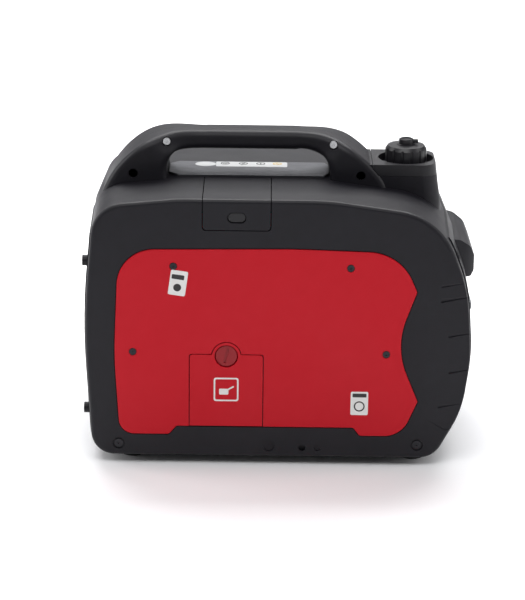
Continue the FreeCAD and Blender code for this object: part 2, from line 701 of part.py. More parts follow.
collar = filler_outer.common(solid_box(119.6 * LX, BIG, -BIG, BIG, FILLER_SEAM * HZ + 0.3, BIG))
collar = collar.cut([handle_outer, bore(36, V(FILLER_X * LX, 0, FILLER_FLOOR * HZ), Z_AXIS, 60),
                     bore(25, V(FILLER_X * LX, 0, 0), Z_AXIS, BIG)])
rim_edges = [e for e in collar.Edges if abs(e.BoundBox.ZMin - FILLER_TOP * HZ) < 1e-3
             and abs(e.BoundBox.ZMax - FILLER_TOP * HZ) < 1e-3 and e.CenterOfMass.x > 130 * LX]
feature("filler_surround", collar)

cap_x, cap_z = along(FILLER_X), up(374.5)
cap_r = cell("cap_radius")
cap_blank = turned([(21.6, 0), (cap_r - 1.5, 0), (cap_r, 1.5), (cap_r - 0.4, 17), (cap_r - 3.5, 21.5), (12.4, 22.5),
                    (12.4, 20), (10.5, 20), (10.5, 17.5), (21.6, 17.5)], (cap_x, 0, cap_z))
rib_count = int(num(cell("cap_ribs")))
grooves = [rod(2.6, 30, (cap_x + (cap_r + 0.9) * math.cos(2 * math.pi * i / rib_count),
                         (cap_r + 0.9) * math.sin(2 * math.pi * i / rib_count), cap_z - 5)) for i in range(rib_count)]
keep("fuel_cap", cut(cap_blank, *grooves))
keep("fuel_cap_insert", turned([(0, -24), (15.5, -24), (15.5, 2.2), (21.2, 2.2), (21.2, 9), (9.8, 9), (9.8, 19.6), (0, 19.6)],
                               (cap_x, 0, cap_z)))
keep("fuel_cap_gasket", turned([(15.9, -0.1), (20.6, -0.1), (20.6, 2.1), (15.9, 2.1)], (cap_x, 0, cap_z)))
lever_disc = turned([(0, 20.4), (12.0, 20.4), (12.0, 23.0), (9.6, 23.4), (9.6, 29.0), (8.8, 30.0), (7.4, 30.0), (7.2, 28.8),
                     (0, 28.8)], (cap_x, 0, cap_z))
lever_arm = box(cap_x + 7, cap_x + 15.5, Size(-3.2), Size(3.2), cap_z + 24.2, cap_z + 28.6)
keep("fuel_cap_vent_lever", fuse(lever_disc, lever_arm))

# Fuel tank: moulded shell between the cylinder and the control panel end.
TANK = [(70, 200, 10), (192, 200, 10), (212, 242, 20), (206, 290, 20), (182, 312, 20), (70, 322, 10)]


def tank_form(amount):
    ring = inset(side_points(TANK), amount, 0)
    length = 2 * (104 * WY + amount)
    ring.translate(V(0, -length / 2, 0))
    return Part.Face(ring).extrude(V(0, length, 0))


neck_z = 298 * HZ
neck = bore(21, V(FILLER_X * LX, 0, neck_z), Z_AXIS, num(cap_z) - 0.2 - neck_z)
neck_bore = bore(17.5, V(FILLER_X * LX, 0, neck_z - 5), Z_AXIS, 200)
feature("fuel_tank", tank_form(0).fuse(neck).cut([tank_form(-T), neck_bore]))


# -------------------------------------------------------- control panel pieces
face = along(FACE_X)


def on_face(point, x=0):
    return (face + x, across(point[0]), up(point[1]))


def face_block(point, x0_, x1_, wide, high):
    y, z = across(point[0]), up(point[1])
    return box(face + x0_, face + x1_, y - wide / 2, y + wide / 2, z - high / 2, z + high / 2)


dial_r = cell("dial_radius")
dial = turned([(0, -9), (6, -9), (6, 0.4), (dial_r, 0.4), (dial_r, 3.5), (dial_r - 2.5, 11), (0, 11)], on_face(DIAL), "x")
keep("engine_switch_dial", fuse(dial, face_block(DIAL, 10, 18.5, dial_r * 2 - 6, 8.5)))

socket_r = cell("socket_radius")
socket_profile = [(0, -19), (socket_r - 4, -19), (socket_r - 4, 0.1), (socket_r + 1, 0.1), (socket_r + 1, 4.2),
                  (socket_r - 5.5, 4.2), (socket_r - 5.5, -14), (0, -14)]


def ac_socket(point):
    pins = [rod(2.6, 6, (face - 20, across(point[0]) + s * 9.5, up(point[1])), "x") for s in (-1, 1)]
    return cut(turned(socket_profile, on_face(point), "x"), *pins)


group("ac_sockets", [ac_socket(p) for p in SOCKETS])


def socket_lid(point):
    lid = turned([(0, 4.7), (socket_r + 0.5, 4.7), (socket_r + 0.5, 6.6), (socket_r - 1.5, 8.0), (0, 8.0)], on_face(point), "x")
    y, z = across(point[0]), up(point[1])
    barrel = rod(2.2, 22, (face + 6.9, y - 11, z + socket_r + 1.8), "y")
    return fuse(lid, barrel, box(face + 4.8, face + 8.0, y - 9, y + 9, z + socket_r - 3, z + socket_r + 1.8))


keep("ac_socket_lid_1", socket_lid(SOCKETS[0]))
keep("ac_socket_lid_2", socket_lid(SOCKETS[1]))
keep("dc_socket", turned([(0, -22), (11, -22), (11, 0.1), (13.5, 0.1), (13.5, 2.8), (9.4, 2.8), (9.4, -18), (0, -18)],
                         on_face(DC_SOCKET), "x"))
dc_y, dc_z = across(DC_SOCKET[0]), up(DC_SOCKET[1])
dc_cap = turned([(0, 3.2), (13, 3.2), (13, 5.6), (11.5, 7.0), (0, 7.0)], on_face(DC_SOCKET), "x")
keep("dc_socket_cap", fuse(dc_cap, box(face + 3.3, face + 6.0, dc_y - 4, dc_y + 4, dc_z + 11, dc_z + 17)))
usb = [cut(face_block(p, -12, 1.4, 20, 12), face_block(p, -8, 3, 13.2, 5.4)) for p in USB]
group("usb_ports", usb)
keep("eco_switch", rounded(face_block(ECO, -2.8, 3.2, 14.4, 20.4), 1.2, lambda e: e.BoundBox.XMin > num(face) + 3))
lamp_profile = [(0, -8), (2.6, -8), (2.6, 0.1), (3.4, 0.1), (3.4, 1.2), (2.2, 2.3), (0, 2.6)]
group("indicator_lamps", [turned(lamp_profile, on_face(p), "x") for p in LAMPS])
button_profile = [(0, -9), (4.9, -9), (4.9, 3.8), (4.1, 4.6), (0, 4.6)]
keep("dc_breaker_button", turned(button_profile, on_face(BREAKERS[0]), "x"))
keep("overload_reset_button", turned(button_profile, on_face(BREAKERS[1]), "x"))
jack_profile = [(3.2, -14), (5.1, -14), (5.1, 0.1), (8, 0.1), (8, 5), (6.6, 6.2), (3.2, 6.2)]
group("parallel_jacks", [turned(jack_profile, on_face(p), "x") for p in JACKS])
keep("ground_stud", turned([(0, -10), (3.1, -10), (3.1, 0.1), (8, 0.1), (8, 1.6), (3, 1.6), (3, 13), (0, 13)],
                           on_face(GROUND), "x"))
nut_core = turned([(3.1, 1.9), (7, 1.9), (6, 7.5), (3.1, 7.5)], on_face(GROUND), "x")
ears = face_block(GROUND, 3.4, 10, 24, 3)
ear_bore = rod(5, 20, on_face(GROUND, 1), "x")
keep("ground_wing_nut", fuse(nut_core, cut(ears, ear_bore)))

# --------------------------------------------------------- exhaust outlet
end_x = -(cell("overall_length") / 2)
guard = turned([(17, 0), (30.6, 0), (30.6, 7), (28.6, 7), (28.6, 2), (17, 2)], (end_x + 1.4, across(OUTLET_Y), up(OUTLET_Z)), "x")
guard_bars = [box(end_x + 1.6, end_x + 3.2, across(OUTLET_Y) - 18.5, across(OUTLET_Y) + 18.5,
                  up(OUTLET_Z) + offset - 1.1, up(OUTLET_Z) + offset + 1.1) for offset in (-8, 0, 8)]
keep("exhaust_outlet_guard", fuse(guard, *guard_bars))

# ------------------------------------------------------------- fasteners
panel_seat = across(145) - 1.8
group("side_panel_screws", [screw_at((along(x), s * panel_seat, up(z)), "-y" if s < 0 else "y", 7.5, Size(4.4), 1.5)
                            for x, z in PANEL_SCREWS for s in (-1, 1)])
rim_seat = NEAR - 1.9
group("base_rim_screws", [screw_at((along(x), s * rim_seat, up(z)), "-y" if s < 0 else "y", 9, Size(5.6), 1.5)
                          for x, z in RIM_SCREWS for s in (-1, 1)])
group("handle_screws", [screw_at((along(x), -handle_seat, up(z)), "-y", handle_seat * 2 + 5, Size(4.7), 2.4)
                        for x, z in HANDLE_SCREWS])
nut_profile = [(screw + 0.05, 0), (4.6, 0), (4.6, 3.6), (screw + 0.05, 3.6)]
group("handle_nuts", [turned(nut_profile, (along(x), handle_seat + 0.1, up(z)), "y") for x, z in HANDLE_SCREWS])
panel_corners = [(y, z) for y in (-97, 97) for z in (79, 229)]
exhaust_corners = [(y, z) for y in (-96, 96) for z in (60, 262)]
group("end_cover_screws",
      [screw_at((face + 0.1, across(y), up(z)), "x", 2.8, Size(4.2), 2.2) for y, z in panel_corners]
      + [screw_at((end_x + 4, across(y), up(z)), "-x", 7, Size(4.2), 2.4) for y, z in exhaust_corners])

# ------------------------------------------------------------ recoil starter
crank_x, crank_z = along(FAN_X), up(CRANK_Z)
grip_x, grip_z = along(GRIP_X), up(GRIP_Z)
grip_y = across(145) - 26
handle_bar = rounded(box(grip_x - GRIP_HALF, grip_x + GRIP_HALF, grip_y + 6, grip_y + 24, grip_z - 10, grip_z + 10), 6.5,
                     lambda e: e.Length > 15)
keep("starter_grip", fuse(handle_bar, rod(8, 8, (grip_x, grip_y, grip_z), "y")))
reel_r = cell("reel_radius")
reel_y = across(110)
keep("recoil_reel", turned([(8.4, -6), (reel_r + 4, -6), (reel_r + 4, -4), (reel_r - 4, -4), (reel_r - 4, 4), (reel_r + 4, 4),
                            (reel_r + 4, 6), (8.4, 6)], (crank_x, reel_y, crank_z), "y"))
shroud_r = cell("fan_radius") + 12
shroud = turned([(shroud_r - 3, -112), (shroud_r, -112), (shroud_r, 12), (8, 12), (8, -8), (4, -8), (4, 9), (shroud_r - 3, 9)],
                (crank_x, reel_y, crank_z), "y")
vent_holes = [rod(9, 40, (crank_x + 58 * math.cos(math.radians(a)), reel_y, crank_z + 58 * math.sin(math.radians(a))), "y")
              for a in range(0, 360, 30)]
toward = math.atan2(num(grip_z) - num(crank_z), num(grip_x) - num(crank_x))
reach = math.hypot(num(grip_z) - num(crank_z), num(grip_x) - num(crank_x))
tangent = toward + math.acos(num(reel_r) / reach)
rope_start = V(num(crank_x) + num(reel_r) * math.cos(tangent), num(reel_y), num(crank_z) + num(reel_r) * math.sin(tangent))
rope_bend = V(num(grip_x), num(reel_y), num(grip_z))
rope_run = rope_bend - rope_start
rope_r = 2.0
rope = bore(rope_r, rope_start, rope_run, rope_run.Length).fuse(
    [Part.makeSphere(rope_r, rope_bend), bore(rope_r, rope_bend, Y_AXIS, num(grip_y) - num(reel_y) - 0.1)])
feature("starter_rope", rope)
rope_slot = doc.addObject("Part::Feature", "rope_slot")
rope_slot.Shape = bore(5, rope_start + rope_run * 0.15, rope_run, rope_run.Length)
rope_slot.Placement = FreeCAD.Placement()
keep("recoil_housing", cut(shroud, rope_slot, *vent_holes))

# ------------------------------------------------------------------- engine
near_wall, far_wall = -across(96), -across(8)
case = rounded(box(crank_x - 56, crank_x + 54, near_wall, far_wall, crank_z - 62, crank_z + 30), 9, lambda e: e.Length > 60)
case_hollow = box(crank_x - 49, crank_x + 47, near_wall + 7, far_wall - 7, crank_z - 55, crank_z + 23)
boss = rod(15, 14, (crank_x - 27, near_wall - 12, crank_z - 30), "y")
boss_bore = rod(10, 30, (crank_x - 27, near_wall - 14, crank_z - 30), "y")
shaft_bore = rod(cell("crank_radius") + 0.6, 20, (crank_x, far_wall - 12, crank_z), "y")
mouth = rod(29, 20, (crank_x, near_wall / 2 + far_wall / 2, crank_z + 18))
keep("crankcase", cut(fuse(case, boss), case_hollow, boss_bore, shaft_bore, mouth))
keep("oil_filler_cap", turned([(0, -22), (3, -22), (3, -6), (9.4, -6), (9.4, 0.4), (15, 0.4), (15, 3), (12, 4), (12, 9), (0, 9)],
                              (crank_x - 27, near_wall - 12.2, crank_z - 30), "-y"))
mid_y = near_wall / 2 + far_wall / 2
deck_z = crank_z + 30.3
core = rod(35, 84, (crank_x, mid_y, deck_z))
fins = [box(crank_x - 52, crank_x + 50, near_wall, far_wall, deck_z + 6 + 9 * i, deck_z + 8.4 + 9 * i) for i in range(9)]
keep("cylinder", cut(fuse(core, *fins), rod(26, 120, (crank_x, mid_y, deck_z - 10))))
head_z = deck_z + 84.3
head_fins = [box(crank_x - 52, crank_x + 50, near_wall, far_wall, head_z + 3 + 8 * i, head_z + 5.4 + 8 * i) for i in range(3)]
head_core = box(crank_x - 38, crank_x + 38, near_wall + 4, far_wall - 6, head_z, head_z + 26)
plug_x, plug_y = along(LATCH_X), near_wall + 12
keep("cylinder_head", cut(fuse(head_core, *head_fins), rod(5.4, 60, (plug_x, plug_y, head_z - 5))))
keep("rocker_cover", rounded(box(crank_x - 32, crank_x + 32, mid_y - 20, far_wall - 8, head_z + 26.3, head_z + 46), 5,
                             lambda e: e.CenterOfMass.z > num(head_z) + 40))
keep("spark_plug", turned([(0, 4), (5.1, 4), (5.1, 26.2), (9.2, 26.2), (9.2, 33), (6, 35), (4.6, 52), (2, 52), (2, 57), (0, 57)],
                          (plug_x, plug_y, head_z)))
keep("spark_plug_cap", turned([(6.9, 38), (9.5, 38), (9.5, 62), (6, 66), (0, 66), (0, 57.4), (4.9, 57.4)],
                              (plug_x, plug_y, head_z)))
mounts = [turned([(0, 0), (12, 0), (9.5, 8), (9.5, 20), (12, crank_z - 62.3 - (deck + 3.2)), (0, crank_z - 62.3 - (deck + 3.2))],
                 (crank_x + dx, near_wall + dy, deck + 3)) for dx in (-42, 40) for dy in (14, 74)]
group("engine_mounts", mounts)
shaft_r = cell("crank_radius")
shaft = rod(shaft_r, across(76) - far_wall + 20, (crank_x, far_wall - 20, crank_z), "y")
web = rod(20, 9, (crank_x, far_wall - 20, crank_z), "y")
keep("crankshaft", fuse(shaft, web))
stator_y = far_wall + 9
stator_ring = turned([(20, -8.6), (26, -8.6), (26, 0), (30, 0), (30, 26), (20, 26)], (crank_x, stator_y, crank_z), "y")
teeth = []
for i in range(12):
    tooth = doc.addObject("Part::Box", "tooth")
    tooth.Length, tooth.Width, tooth.Height = 8, 22, 21
    tooth.Placement = FreeCAD.Placement(V(num(crank_x), num(stator_y) + 2, num(crank_z)), FreeCAD.Rotation(Y_AXIS, 30 * i)).multiply(
        FreeCAD.Placement(V(-4, 0, 28), FreeCAD.Rotation()))
    teeth.append(tooth)
keep("stator", fuse(stator_ring, *teeth))
rotor_r = cell("rotor_radius")
keep("flywheel_rotor", turned([(rotor_r - 8, 0), (rotor_r, 0), (rotor_r, 38), (shaft_r + 0.02, 38), (shaft_r + 0.02, 28.5),
                               (18, 28.5), (18, 31), (rotor_r - 8, 31)], (crank_x, stator_y, crank_z), "y"))
fan_r = cell("fan_radius")
fan_disc = turned([(shaft_r + 0.02, 38.2), (fan_r, 38.2), (fan_r, 40.6), (16, 40.6), (16, 66), (28, 66), (28, 78), (25, 78),
                   (25, 69), (shaft_r + 0.02, 69)], (crank_x, stator_y, crank_z), "y")
blades = []
for i in range(14):
    blade = doc.addObject("Part::Box", "blade")
    blade.Length, blade.Width, blade.Height = 2.2, 24, num(fan_r) - 31
    blade.Placement = FreeCAD.Placement(
        V(num(crank_x), num(stator_y) + 40, num(crank_z)), FreeCAD.Rotation(Y_AXIS, 360 / 14 * i)).multiply(
        FreeCAD.Placement(V(4, 0, 30), FreeCAD.Rotation(Y_AXIS, 12)))
    blades.append(blade)
keep("cooling_fan", fuse(fan_disc, *blades))
carb = rounded(box(crank_x + 53, crank_x + 84, mid_y - 18, mid_y + 18, up(172), up(196)), 4, lambda e: e.Length > 30)
bowl = rod(15, 20, (crank_x + 68, mid_y, up(153)))
keep("carburettor", fuse(carb, bowl))
keep("air_filter_box", rounded(box(crank_x + 85, crank_x + 148, mid_y - 42, mid_y + 30, up(112), up(197)), 7,
                               lambda e: e.Length > 50))
muffler_x0, muffler_x1 = along(-226), crank_x - (shroud_r + 4)
silencer = rounded(box(muffler_x0, muffler_x1, -across(78), across(78), up(120), up(262)), 16, lambda e: e.Length > 80)
pipe = rod(11, (crank_x - 53) - muffler_x1 + 4, (muffler_x1 - 4, mid_y, head_z + 12), "x")
tail = rod(14, muffler_x0 - end_x - 6 + 4, (end_x + 6, across(OUTLET_Y), up(OUTLET_Z)), "x")
keep("muffler", cut(fuse(silencer, pipe, tail), rod(11.5, 20, (end_x + 4, across(OUTLET_Y), up(OUTLET_Z)), "x")))
unit = rounded(box(along(66), along(196), -across(80), across(80), deck + 3.3, up(98)), 4, lambda e: e.Length > 60)
grooves = [box(along(66) + 6 + 11 * i, along(66) + 10 + 11 * i, -across(81), across(81), up(86), up(100)) for i in range(11)]
keep("inverter_unit", cut(unit, *grooves))

# ------------------------------------------------------- check and write out
doc.recompute()
problems = []
for obj in doc.Objects:
    if {"Invalid", "Error"} & set(obj.State):
        problems.append(f"{obj.Label}: {obj.State}")
for label, obj in nodes.items():
    if obj.Shape.isNull() or not obj.Shape.isValid() or not obj.Shape.Solids:
        problems.append(f"{label}: no valid shape")
if problems:
    raise SystemExit("\n".join(problems))
for label, obj in nodes.items():
    obj.Shape.exportStep(f"parts/{label}.step")
print(len(nodes), "pieces written")
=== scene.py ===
# %% [markdown]
# # A suitcase inverter generator
#
# The machine is a moulded shell around a small petrol engine: two black side covers that meet
# under the carry handle, a red service panel, a screw fuel cap and a socket panel at one end.
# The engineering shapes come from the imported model, and this script gives them their finish,
# adds the printed labels and the pull rope, and sets up the studio.

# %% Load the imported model
import math

import bmesh
import bpy
from mathutils import Matrix, Vector


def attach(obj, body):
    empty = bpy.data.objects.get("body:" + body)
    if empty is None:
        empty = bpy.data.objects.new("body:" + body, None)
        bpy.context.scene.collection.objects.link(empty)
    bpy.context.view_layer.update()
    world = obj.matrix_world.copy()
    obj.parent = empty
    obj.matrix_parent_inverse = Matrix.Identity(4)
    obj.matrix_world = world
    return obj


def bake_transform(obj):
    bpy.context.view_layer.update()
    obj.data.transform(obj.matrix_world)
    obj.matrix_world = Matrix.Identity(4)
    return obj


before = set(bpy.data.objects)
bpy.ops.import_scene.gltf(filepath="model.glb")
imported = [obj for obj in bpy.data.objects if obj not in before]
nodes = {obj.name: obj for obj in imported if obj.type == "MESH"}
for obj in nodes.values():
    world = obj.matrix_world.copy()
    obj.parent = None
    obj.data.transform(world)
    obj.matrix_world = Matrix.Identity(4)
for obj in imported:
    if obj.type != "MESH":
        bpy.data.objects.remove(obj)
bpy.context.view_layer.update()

# %% [markdown]
# ## Camera
# A long lens from a few metres away, a little above the machine. The lens is long, so the
# two side covers keep nearly the same size, as in a catalogue picture.

# %% Camera
MM = 0.001
DISTANCE = 3.0
ELEVATION = math.radians(18)
AIM = Vector((-21.5, 0, 179.65)) * MM
ROLL = math.radians(0.7)

camera_data = bpy.data.cameras.new("studio_camera")
camera_data.sensor_width = 36
camera_data.lens = 134.4
camera = bpy.data.objects.new("studio_camera", camera_data)
bpy.context.scene.collection.objects.link(camera)
camera.location = AIM + DISTANCE * Vector((0, -math.cos(ELEVATION), math.sin(ELEVATION)))
looking = (AIM - camera.location).to_track_quat("-Z", "Y").to_matrix().to_4x4()
camera.matrix_world = Matrix.Translation(camera.location) @ looking @ Matrix.Rotation(ROLL, 4, "Z")
bpy.context.scene.camera = camera
print("camera at", [round(v, 3) for v in camera.location])

# %% [markdown]
# ## Colours and node trees
# Colours are picked as sRGB hex values, and Blender's shaders work in linear light, so one
# function converts them. One more function adds a node with its settings and its links, and
# every material below is wired with it.

# %% Colour and node helpers


def linear(hex_colour, alpha=1.0):
    """sRGB hex to the linear RGBA that shader sockets take."""
    channels = [int(hex_colour[i:i + 2], 16) / 255 for i in (1, 3, 5)]
    return (*[c / 12.92 if c <= 0.04045 else ((c + 0.055) / 1.055) ** 2.4 for c in channels], alpha)


def add(material, kind, settings=None, **inputs):
    """Adds a node; an input is a plain value, or (node, output name) to link."""
    tree = material.node_tree
    node = tree.nodes.new(kind)
    for name, value in (settings or {}).items():
        setattr(node, name, value)
    for name, value in inputs.items():
        socket = node.inputs[name.replace("_", " ")]
        if isinstance(value, tuple) and isinstance(value[0], bpy.types.Node):
            tree.links.new(value[0].outputs[value[1]], socket)
        else:
            socket.default_value = value
    return node


def new_material(name):
    material = bpy.data.materials.new(name)
    material.use_nodes = True
    material.node_tree.nodes.clear()
    return material


def finish_material(material, shader):
    add(material, "ShaderNodeOutputMaterial", Surface=(shader, "BSDF"))
    return material


def ramp(material, source, low, high, low_at=0.0, high_at=1.0):
    """Maps a 0..1 pattern to a range of numbers."""
    return add(material, "ShaderNodeMapRange", Value=source, From_Min=low_at, From_Max=high_at,
               To_Min=low, To_Max=high)


def mix_colours(material, factor, first, second):
    node = add(material, "ShaderNodeMix", {"data_type": "RGBA"})
    tree = material.node_tree
    for index, value in ((0, factor), (6, first), (7, second)):
        if isinstance(value, tuple) and isinstance(value[0], bpy.types.Node):
            tree.links.new(value[0].outputs[value[1]], node.inputs[index])
        else:
            node.inputs[index].default_value = value
    return node


# %% [markdown]
# ## Moulded plastics
# The covers are acrylonitrile butadiene styrene, ABS, injection moulded in a steel tool whose
# face was spark eroded. That leaves a fine pebbled grain, about 0.1 mm across: too fine to see
# at this distance, so it is drawn at 0.7 mm. Grain breaks up the reflection, and handling
# polishes some of it, so roughness wanders a little over the surface.

# %% Moulded ABS


def moulded_plastic(name, hex_colour, hex_worn, roughness, grain_mm, grain_depth_mm, ior=1.54, specular=0.5):
    material = new_material(name)
    place = add(material, "ShaderNodeTexCoord")
    grain = add(material, "ShaderNodeTexNoise", {"noise_dimensions": "3D"}, Vector=(place, "Object"),
                Scale=1 / (grain_mm * MM), Detail=3.0, Roughness=0.6)
    handling = add(material, "ShaderNodeTexNoise", Vector=(place, "Object"), Scale=1 / (90 * MM), Detail=4.0)
    flow = add(material, "ShaderNodeTexNoise", Vector=(place, "Object"), Scale=1 / (14 * MM), Detail=2.0)
    tint = ramp(material, (flow, "Fac"), 0.0, 0.5, 0.3, 0.7)
    colour = mix_colours(material, (tint, "Result"), linear(hex_colour), linear(hex_worn))
    gloss = ramp(material, (handling, "Fac"), roughness - 0.05, roughness + 0.06, 0.3, 0.7)
    bump = add(material, "ShaderNodeBump", Strength=0.6, Distance=grain_depth_mm * MM, Height=(grain, "Fac"))
    shader = add(material, "ShaderNodeBsdfPrincipled", Base_Color=(colour, "Result"),
                 Roughness=(gloss, "Result"), IOR=ior, Specular_IOR_Level=specular, Normal=(bump, "Normal"))
    return finish_material(material, shader)


black_abs = moulded_plastic("spark_textured_black_abs", "#17161b", "#1b1a20", 0.46, 0.7, 0.05, specular=0.22)
black_nylon = moulded_plastic("smooth_black_nylon", "#19181c", "#1d1c20", 0.36, 1.2, 0.02, specular=0.35)
red_abs = moulded_plastic("satin_red_abs", "#b70d1e", "#bb1222", 0.40, 1.0, 0.012, specular=0.16)
grey_abs = moulded_plastic("grey_socket_plastic", "#4a4b4e", "#515256", 0.42, 0.9, 0.02)
blue_abs = moulded_plastic("blue_socket_plastic", "#1d3f86", "#244892", 0.33, 1.0, 0.015)
knob_red = moulded_plastic("deep_red_knob_abs", "#8a0915", "#920c19", 0.36, 1.0, 0.012, specular=0.3)
dial_grey = moulded_plastic("silver_grey_dial_plastic", "#9a9ca0", "#a2a4a8", 0.36, 0.9, 0.01)
yellow_abs = moulded_plastic("yellow_filler_plastic", "#d8a312", "#dcab22", 0.35, 1.0, 0.015)
print("plastics:", [m.name for m in (black_abs, black_nylon, red_abs, grey_abs, blue_abs, yellow_abs)])

# %% [markdown]
# ## Rubber
# Feet, boots and the socket cap are moulded rubber: matt, nearly black and slightly dusty, with
# a soft sheen where the surface turns away.

# %% Rubber
rubber = moulded_plastic("moulded_black_rubber", "#161616", "#1f1e1d", 0.72, 0.9, 0.06, ior=1.52)

# %% [markdown]
# ## Metals
# Castings are sand grey and pitted, the pressed silencer is stove enamelled, screws are zinc
# plated or black oxide. Turned and brushed parts show fine lines, drawn here 0.4 mm apart.

# %% Metals


def metal(name, hex_colour, roughness, grain_mm, depth_mm, stretch=(1, 1, 1), metallic=1.0):
    material = new_material(name)
    place = add(material, "ShaderNodeTexCoord")
    stretched = add(material, "ShaderNodeMapping", Vector=(place, "Object"), Scale=stretch)
    grain = add(material, "ShaderNodeTexNoise", Vector=(stretched, "Vector"), Scale=1 / (grain_mm * MM),
                Detail=4.0)
    stain = add(material, "ShaderNodeTexNoise", Vector=(place, "Object"), Scale=1 / (25 * MM), Detail=3.0)
    dark = tuple(c * 0.72 for c in linear(hex_colour)[:3]) + (1.0,)
    tint = ramp(material, (stain, "Fac"), 0.0, 0.6, 0.35, 0.7)
    colour = mix_colours(material, (tint, "Result"), linear(hex_colour), dark)
    gloss = ramp(material, (grain, "Fac"), roughness - 0.08, roughness + 0.10, 0.3, 0.7)
    bump = add(material, "ShaderNodeBump", Strength=0.5, Distance=depth_mm * MM, Height=(grain, "Fac"))
    shader = add(material, "ShaderNodeBsdfPrincipled", Base_Color=(colour, "Result"),
                 Roughness=(gloss, "Result"), Metallic=metallic, Normal=(bump, "Normal"))
    return finish_material(material, shader)


zinc_steel = metal("zinc_plated_steel", "#c9cacc", 0.28, 0.8, 0.02)
dark_steel = metal("black_oxide_steel", "#3a3a3d", 0.42, 0.8, 0.02)
cast_aluminium = metal("sand_cast_aluminium", "#a9abad", 0.52, 1.4, 0.12)
machined_steel = metal("machined_steel", "#b4b5b8", 0.32, 0.4, 0.02, stretch=(1, 0.05, 1))
enamelled_steel = metal("stove_enamelled_steel", "#1c1c1e", 0.5, 1.8, 0.05, metallic=0.0)
printed_aluminium = metal("satin_printed_aluminium", "#6c6d71", 0.36, 0.4, 0.008, stretch=(0.04, 1, 1))
brass = metal("turned_brass", "#c79a4a", 0.3, 0.5, 0.02)
copper = metal("enamelled_copper_wire", "#9a4f24", 0.35, 0.6, 0.08, stretch=(1, 0.1, 1))
ceramic = moulded_plastic("glazed_ceramic", "#eceae4", "#e4e2dc", 0.16, 3.0, 0.01, ior=1.6)

# %% [markdown]
# ## Pilot lamps and rope
# The lamps are tinted clear lenses, and the starter rope is braided nylon.

# %% Lamps and rope
lamp_lens = moulded_plastic("tinted_lamp_lens", "#2f7a3c", "#37883f", 0.12, 4.0, 0.005, ior=1.49)


def braided_rope(name, hex_colour, hex_gap, pitch_mm):
    material = new_material(name)
    place = add(material, "ShaderNodeTexCoord")
    weave = add(material, "ShaderNodeTexWave", {"wave_type": "BANDS", "bands_direction": "DIAGONAL"},
                Vector=(place, "Object"), Scale=0.16 / (pitch_mm * MM), Distortion=1.5, Detail=2.0)
    colour = mix_colours(material, (weave, "Fac"), linear(hex_gap), linear(hex_colour))
    bump = add(material, "ShaderNodeBump", Strength=0.8, Distance=0.3 * MM, Height=(weave, "Fac"))
    shader = add(material, "ShaderNodeBsdfPrincipled", Base_Color=(colour, "Result"), Roughness=0.8,
                 Sheen_Weight=0.3, Normal=(bump, "Normal"))
    return finish_material(material, shader)


rope_nylon = braided_rope("braided_black_nylon", "#2b2b2d", "#0f0f10", 2.0)

# %% [markdown]
# ## Finish for every node
# One table says which finish each piece of the machine has. The meshes keep the shading that
# they were packed with.

# %% Put the finishes on
FINISH = {
    black_abs: ["left_side_cover", "right_side_cover", "spark_plug_door", "base_tray", "control_panel",
                "exhaust_end_cover"],
    black_nylon: ["spark_door_latch", "filler_surround", "fuel_cap", "fuel_cap_insert", "fuel_cap_vent_lever",
                  "fuel_tank", "eco_switch", "starter_grip", "recoil_housing", "cooling_fan",
                  "air_filter_box"],
    red_abs: ["left_side_panel", "right_side_panel", "oil_service_door", "overload_reset_button"],
    knob_red: ["oil_door_knob"],
    blue_abs: ["ac_sockets", "ac_socket_lid_1", "ac_socket_lid_2"],
    dial_grey: ["engine_switch_dial"],
    grey_abs: ["dc_socket", "usb_ports", "dc_breaker_button", "parallel_jacks", "recoil_reel"],
    yellow_abs: ["oil_filler_cap"],
    rubber: ["rubber_feet", "fuel_cap_gasket", "dc_socket_cap", "spark_plug_cap", "engine_mounts"],
    lamp_lens: ["indicator_lamps"],
    zinc_steel: ["handle_screws", "handle_nuts"],
    dark_steel: ["side_panel_screws", "base_rim_screws", "end_cover_screws", "exhaust_outlet_guard"],
    cast_aluminium: ["crankcase", "cylinder", "cylinder_head", "carburettor", "inverter_unit"],
    machined_steel: ["crankshaft", "flywheel_rotor"],
    enamelled_steel: ["muffler", "rocker_cover"],
    printed_aluminium: ["top_label_plate"],
    brass: ["ground_stud", "ground_wing_nut"],
    copper: ["stator"],
    ceramic: ["spark_plug"],
    rope_nylon: ["starter_rope"],
}


def dress(obj, material):
    obj.data.materials.clear()
    obj.data.materials.append(material)
    for polygon in obj.data.polygons:
        polygon.material_index = 0


for material, names in FINISH.items():
    for name in names:
        dress(nodes[name], material)
undressed = set(nodes) - {name for names in FINISH.values() for name in names}
print("nodes without a finish:", sorted(undressed))

# %% [markdown]
# ## Printed labels
# Labels are vinyl, a fifth of a millimetre thick, and the pictures on them are plain signs made
# of rings, discs and bars in printing ink. They are cut as flat outlines on a face, given by its
# corner point, the two directions along it and the direction it faces.

# %% Label inks and outlines
vinyl_white = moulded_plastic("white_label_vinyl", "#dededc", "#d6d6d4", 0.42, 3.0, 0.004)
vinyl_grey = moulded_plastic("pale_grey_label_vinyl", "#c9cacb", "#c2c3c4", 0.42, 3.0, 0.004)
ink_black = moulded_plastic("black_label_ink", "#1b1b1d", "#222224", 0.5, 3.0, 0.004)
ink_yellow = moulded_plastic("yellow_label_ink", "#d8b64a", "#d2ae40", 0.5, 3.0, 0.004)
NEAR_FACE = (Vector((1, 0, 0)), Vector((0, 0, 1)), Vector((0, -1, 0)))
TOP_FACE = (Vector((1, 0, 0)), Vector((0, 1, 0)), Vector((0, 0, 1)))
END_FACE = (Vector((0, 1, 0)), Vector((0, 0, 1)), Vector((1, 0, 0)))


